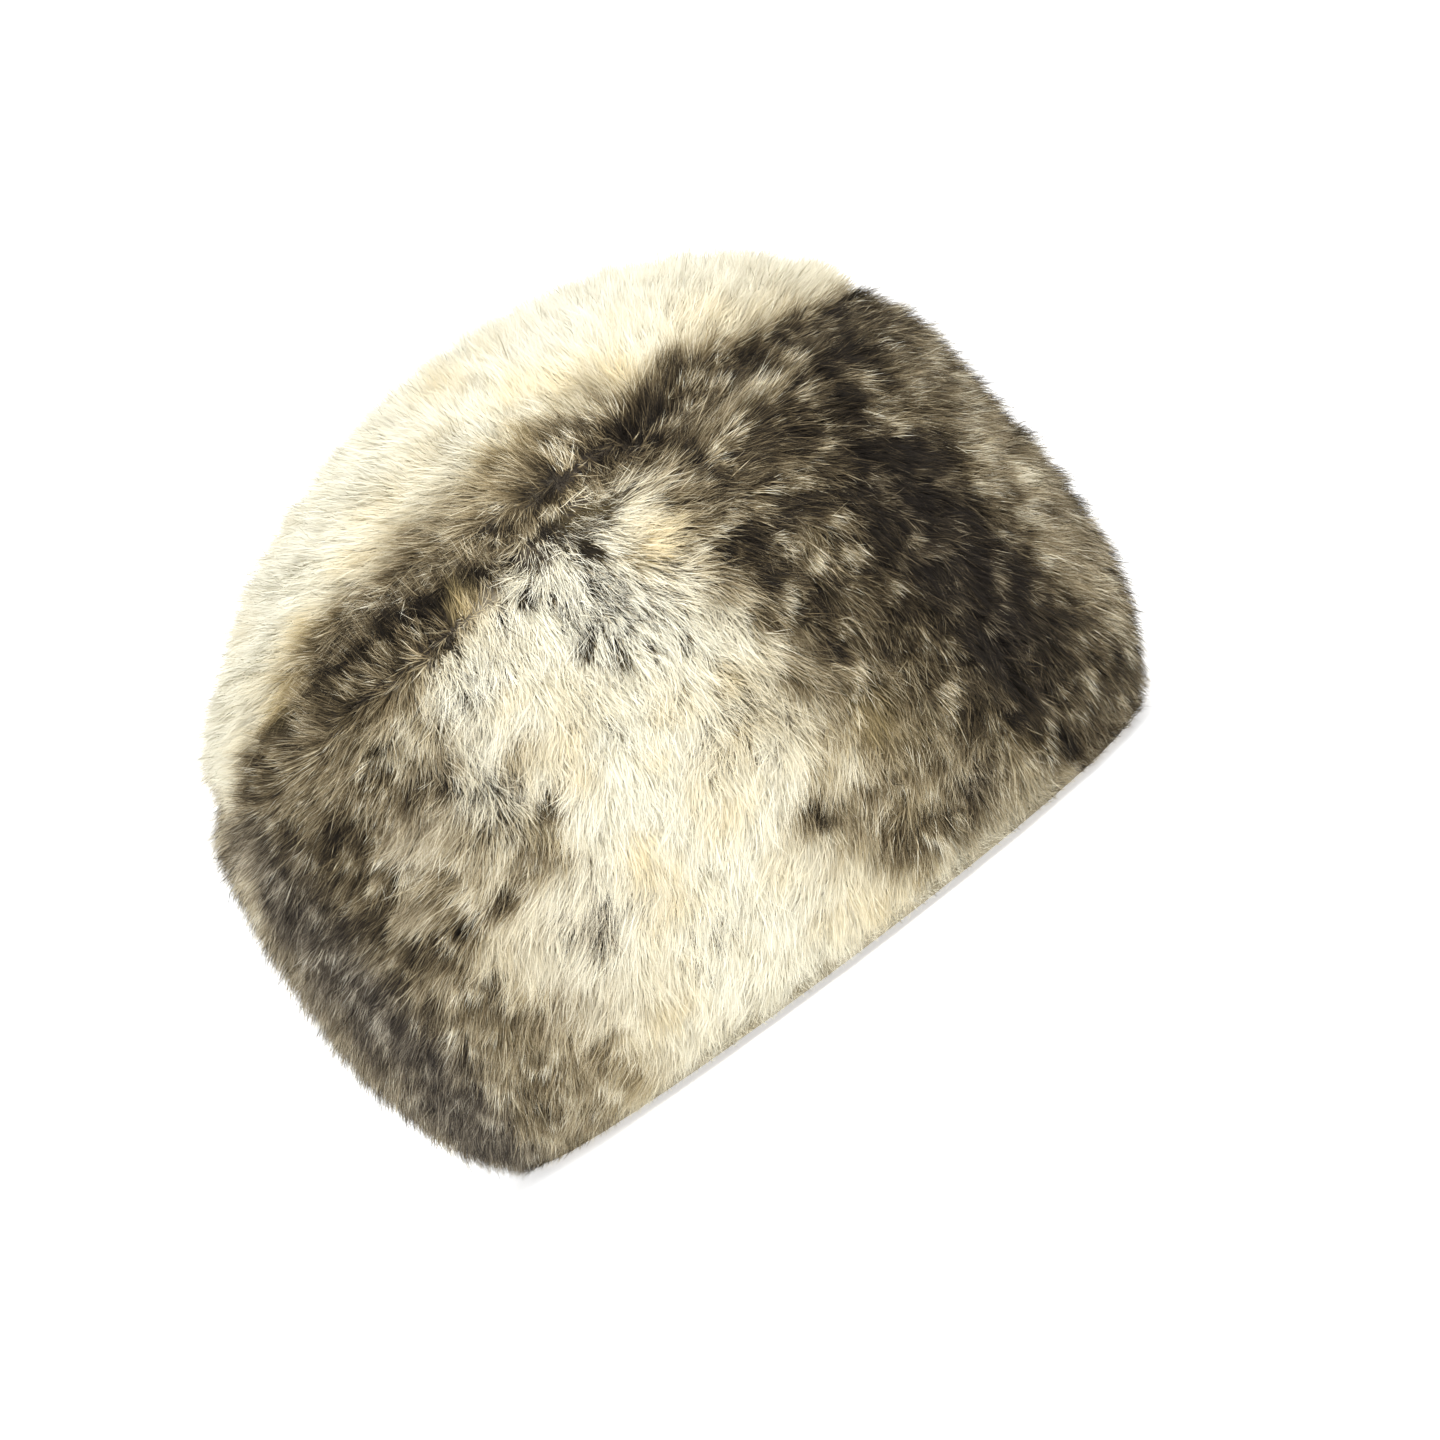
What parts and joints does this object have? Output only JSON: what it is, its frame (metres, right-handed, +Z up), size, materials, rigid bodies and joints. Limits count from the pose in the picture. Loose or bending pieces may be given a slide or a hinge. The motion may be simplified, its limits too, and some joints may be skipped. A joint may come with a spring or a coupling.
{
  "type": "fur hat",
  "caption": "Tall oval hat of long-pile faux fur in cream and brown: a straight side band with a low domed crown sewn to its top, open below.",
  "frame": {"origin": "on the floor under the middle of the hat, whose rim is at z = 0", "axes": "+Z up through the crown, +X to the hat's front, +Y to its left side; the picture looks along +Y"},
  "size_m": [0.2463, 0.2219, 0.1873],
  "materials": {
    "band_fur": "long soft pile of faux fur, mottled cream, beige and dark brown with frosted tips",
    "crown_fur": "long soft pile of faux fur, cream with honey spots and a brown edge along the seam"
  },
  "bodies": {
    "root": {"side_band": "band_fur", "crown": "crown_fur"}
  },
  "joints": []
}
